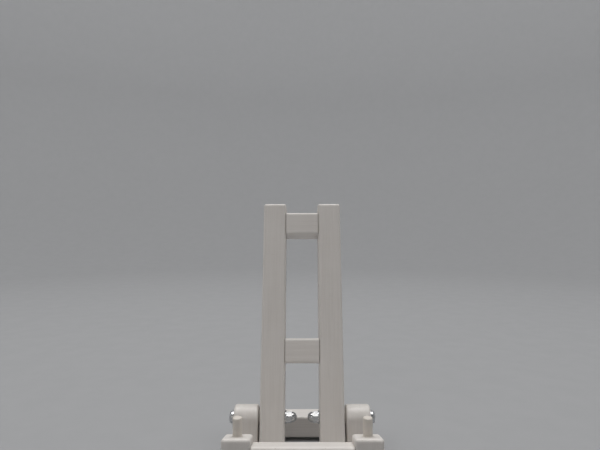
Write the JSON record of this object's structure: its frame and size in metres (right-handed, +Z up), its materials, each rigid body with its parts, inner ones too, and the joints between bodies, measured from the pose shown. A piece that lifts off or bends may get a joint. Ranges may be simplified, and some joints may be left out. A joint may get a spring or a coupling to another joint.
{
  "type": "plate display stand",
  "caption": "Small white-painted wooden stand: front posts with pegs hold a plate's rim, and a ladder-shaped back frame it leans on folds forwards.",
  "frame": {"origin": "centre of the bounding box at floor level, under the middle of the runners", "axes": "+X to the stand's right seen from the front, -Y out of the front where the pegs are, +Z up"},
  "size_m": [0.112, 0.14, 0.2108],
  "materials": {
    "painted_wood": "satin white paint",
    "beech": "bare beech dowel",
    "zinc_steel": "zinc plated",
    "nylon": "natural nylon",
    "rubber": "matt dark grey"
  },
  "bodies": {
    "base": {"front_post_left": "painted_wood", "front_post_right": "painted_wood", "peg_left": "painted_wood", "peg_right": "painted_wood", "front_rail": "painted_wood", "runner_left": "painted_wood", "runner_right": "painted_wood", "rear_post_left": "painted_wood", "rear_post_right": "painted_wood", "stop_rail": "painted_wood", "rear_stretcher": "painted_wood", "front_rail_dowels": "beech", "stop_rail_dowels": "beech", "rear_stretcher_dowels": "beech", "post_screws": "zinc_steel", "foot_pads": "rubber", "pivot_bolts": "zinc_steel", "pivot_outer_washers": "zinc_steel", "pivot_spacers": "nylon", "pivot_inner_washers": "zinc_steel", "pivot_nuts": "zinc_steel"},
    "back_frame": {"back_upright_left": "painted_wood", "back_upright_right": "painted_wood", "back_lower_rail": "painted_wood", "back_top_rail": "painted_wood", "back_rail_dowels": "beech"}
  },
  "joints": [
    {"name": "back_fold", "type": "hinge", "parent": "base", "child": "back_frame", "pos_m": [0, -0.0055, 0.04456], "axis": [1, 0, 0], "range_deg": [0, 90]}
  ]
}
